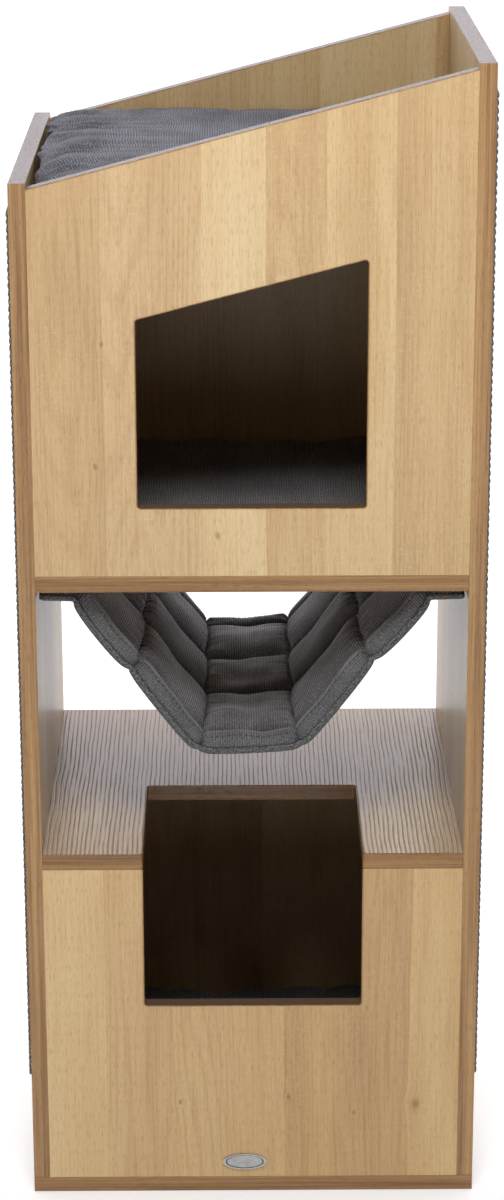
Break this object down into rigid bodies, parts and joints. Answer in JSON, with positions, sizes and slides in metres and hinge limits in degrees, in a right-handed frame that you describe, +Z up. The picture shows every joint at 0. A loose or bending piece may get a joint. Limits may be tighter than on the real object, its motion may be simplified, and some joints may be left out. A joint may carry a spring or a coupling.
{
  "type": "cat tree",
  "caption": "Sloping-topped wooden cat tower: cushioned bed on top, upper cave, hammock bay, lower cave with notched shelf, and woven scratching mats on both sides.",
  "frame": {"origin": "on the floor, under the middle of the base", "axes": "+Z up, front (doorways) towards -Y, the taller side panel at +X"},
  "size_m": [0.419, 0.3814, 1.056],
  "materials": {
    "oak_laminate": "oak-look laminate on particle board, satin",
    "walnut_banding": "walnut-brown edge banding, satin",
    "grey_corduroy": "fine-wale corduroy, brushed",
    "grey_underlay": "coarse plain-weave backing, matt",
    "woven_mat": "ribbed woven cord, matt",
    "hook_and_loop": "black hook-and-loop tape, matt",
    "steel_fittings": "zinc plated",
    "cast_zinc": "die-cast, as cast",
    "beech_dowel": "plain turned, unfinished",
    "badge_metal": "brushed, bright rim"
  },
  "bodies": {
    "tower": {"base_panel": "oak_laminate", "base_edging": "walnut_banding", "left_side_panel": "oak_laminate", "left_side_edging": "walnut_banding", "right_side_panel": "oak_laminate", "right_side_edging": "walnut_banding", "lower_front_panel": "oak_laminate", "lower_door_edging": "walnut_banding", "lower_back_panel": "oak_laminate", "middle_shelf": "oak_laminate", "middle_shelf_edging": "walnut_banding", "upper_floor": "oak_laminate", "upper_floor_edging": "walnut_banding", "upper_front_panel": "oak_laminate", "upper_front_edging": "walnut_banding", "upper_door_edging": "walnut_banding", "upper_back_panel": "oak_laminate", "upper_back_edging": "walnut_banding", "bed_platform": "oak_laminate", "left_scratch_mat": "woven_mat", "right_scratch_mat": "woven_mat", "left_hook_tape": "hook_and_loop", "right_hook_tape": "hook_and_loop", "badge": "badge_metal", "cam_bolts": "steel_fittings", "cam_locks": "cast_zinc", "wooden_dowels": "beech_dowel", "base_screws": "steel_fittings"},
    "bed_cushion": {"bed_cushion": "grey_corduroy"},
    "upper_cave_cushion": {"upper_cave_cushion": "grey_corduroy"},
    "lower_cave_cushion": {"lower_cave_cushion": "grey_corduroy"},
    "hammock": {"hammock_pad": "grey_corduroy", "hammock_underlay": "grey_underlay", "left_loop_tape": "hook_and_loop", "right_loop_tape": "hook_and_loop"}
  },
  "joints": [
    {"name": "bed_cushion_lift", "type": "slide", "parent": "tower", "child": "bed_cushion", "axis": [0, 0, 1], "range_m": [0, 0.2]},
    {"name": "upper_cushion_lift", "type": "slide", "parent": "tower", "child": "upper_cave_cushion", "axis": [0, 0, 1], "range_m": [0, 0.18]},
    {"name": "lower_cushion_lift", "type": "slide", "parent": "tower", "child": "lower_cave_cushion", "axis": [0, 0, 1], "range_m": [0, 0.18]},
    {"name": "hammock_release", "type": "slide", "parent": "tower", "child": "hammock", "axis": [0, 0, -1], "range_m": [0, 0.07]}
  ]
}
